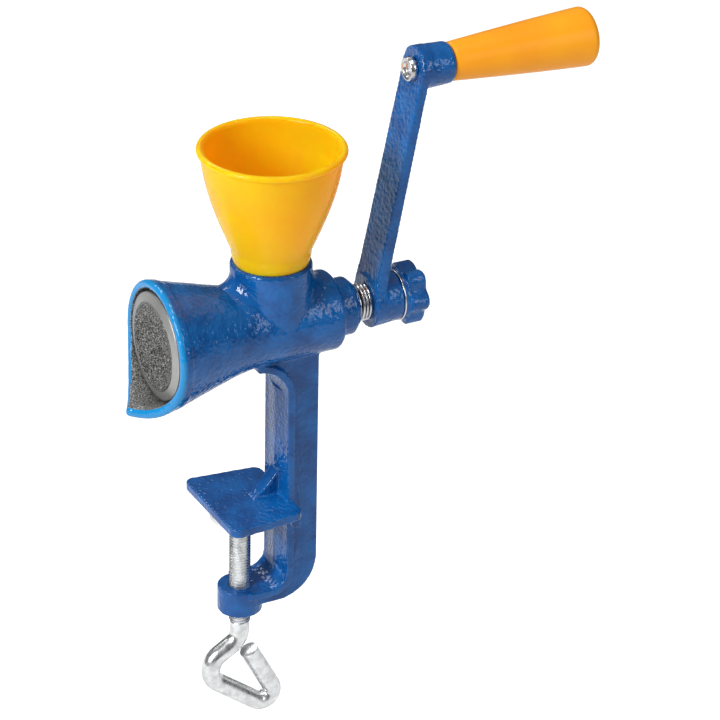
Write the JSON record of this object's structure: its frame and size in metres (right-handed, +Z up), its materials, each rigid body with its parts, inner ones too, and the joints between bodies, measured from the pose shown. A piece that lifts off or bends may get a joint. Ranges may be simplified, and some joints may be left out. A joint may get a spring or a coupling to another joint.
{
  "type": "hand crank seed mill",
  "caption": "Table-clamp hand crank seed mill with a funnel hopper, flared grinding mouth with spout, leaning crank and bent-rod clamp screw.",
  "frame": {"origin": "centre of the clamp screw's axis on the jaw's underside, where the mill rests on the table", "axes": "+X along the spindle from the mouth towards the crank, +Z up, +Y completes the right-handed set"},
  "size_m": [0.2767, 0.0808, 0.3957],
  "materials": {
    "blue_enamel": "glossy blue enamel on cast iron",
    "bare_iron": "bare cast iron, machined where it grinds",
    "hopper_plastic": "glossy yellow-orange plastic",
    "grip_plastic": "satin orange plastic",
    "zinc_steel": "zinc-plated steel",
    "bright_steel": "bright steel",
    "bronze": "sintered bronze"
  },
  "bodies": {
    "housing": {"housing": "blue_enamel", "burr_ring": "bare_iron", "ring_pins": "bright_steel", "rear_bush": "bronze"},
    "hopper": {"hopper": "hopper_plastic"},
    "spindle": {"spindle": "bright_steel", "burr_rotor": "bare_iron", "rotor_pin": "bright_steel", "feed_worm": "bare_iron", "worm_pin": "bright_steel", "neck_washer": "bright_steel", "spring": "bright_steel"},
    "crank": {"crank_arm": "blue_enamel", "knob_washer": "bright_steel", "handle_bolt": "zinc_steel", "grip_washer": "zinc_steel", "grip_nut": "zinc_steel"},
    "knob": {"adjusting_knob": "blue_enamel", "knob_nut": "zinc_steel"},
    "grip": {"handle_grip": "grip_plastic"},
    "clamp_pad": {"clamp_pad": "zinc_steel"},
    "clamp_screw": {"clamp_screw": "zinc_steel"}
  },
  "joints": [
    {"name": "hopper_lift", "type": "slide", "parent": "housing", "child": "hopper", "axis": [0, 0, 1], "range_m": [0, 0.03]},
    {"name": "crank_turn", "type": "hinge", "parent": "housing", "child": "spindle", "pos_m": [0, 0, 0.1104], "axis": [1, 0, 0], "continuous": true},
    {"name": "crank_slide", "type": "slide", "parent": "spindle", "child": "crank", "axis": [1, 0, 0], "range_m": [-0.002, 0], "deforming": ["spring"]},
    {"name": "knob_turn", "type": "hinge", "parent": "crank", "child": "knob", "pos_m": [0, 0, 0.1104], "axis": [1, 0, 0], "range_deg": [-576.01, 0]},
    {"name": "grip_turn", "type": "hinge", "parent": "crank", "child": "grip", "pos_m": [0, 0, 0.2436], "axis": [1, 0, 0], "continuous": true},
    {"name": "pad_slide", "type": "slide", "parent": "housing", "child": "clamp_pad", "axis": [0, 0, 1], "range_m": [-0.034, 0.0023]},
    {"name": "screw_turn", "type": "hinge", "parent": "clamp_pad", "child": "clamp_screw", "pos_m": [0, 0, -0.0497], "axis": [0, 0, 1], "range_deg": [-6994.4, 473.2]}
  ],
  "couplings": [
    {"joint": "knob_turn", "follows": "crank_slide", "rad_per_m": 5026.5},
    {"joint": "screw_turn", "follows": "pad_slide", "rad_per_m": 3590.4}
  ]
}
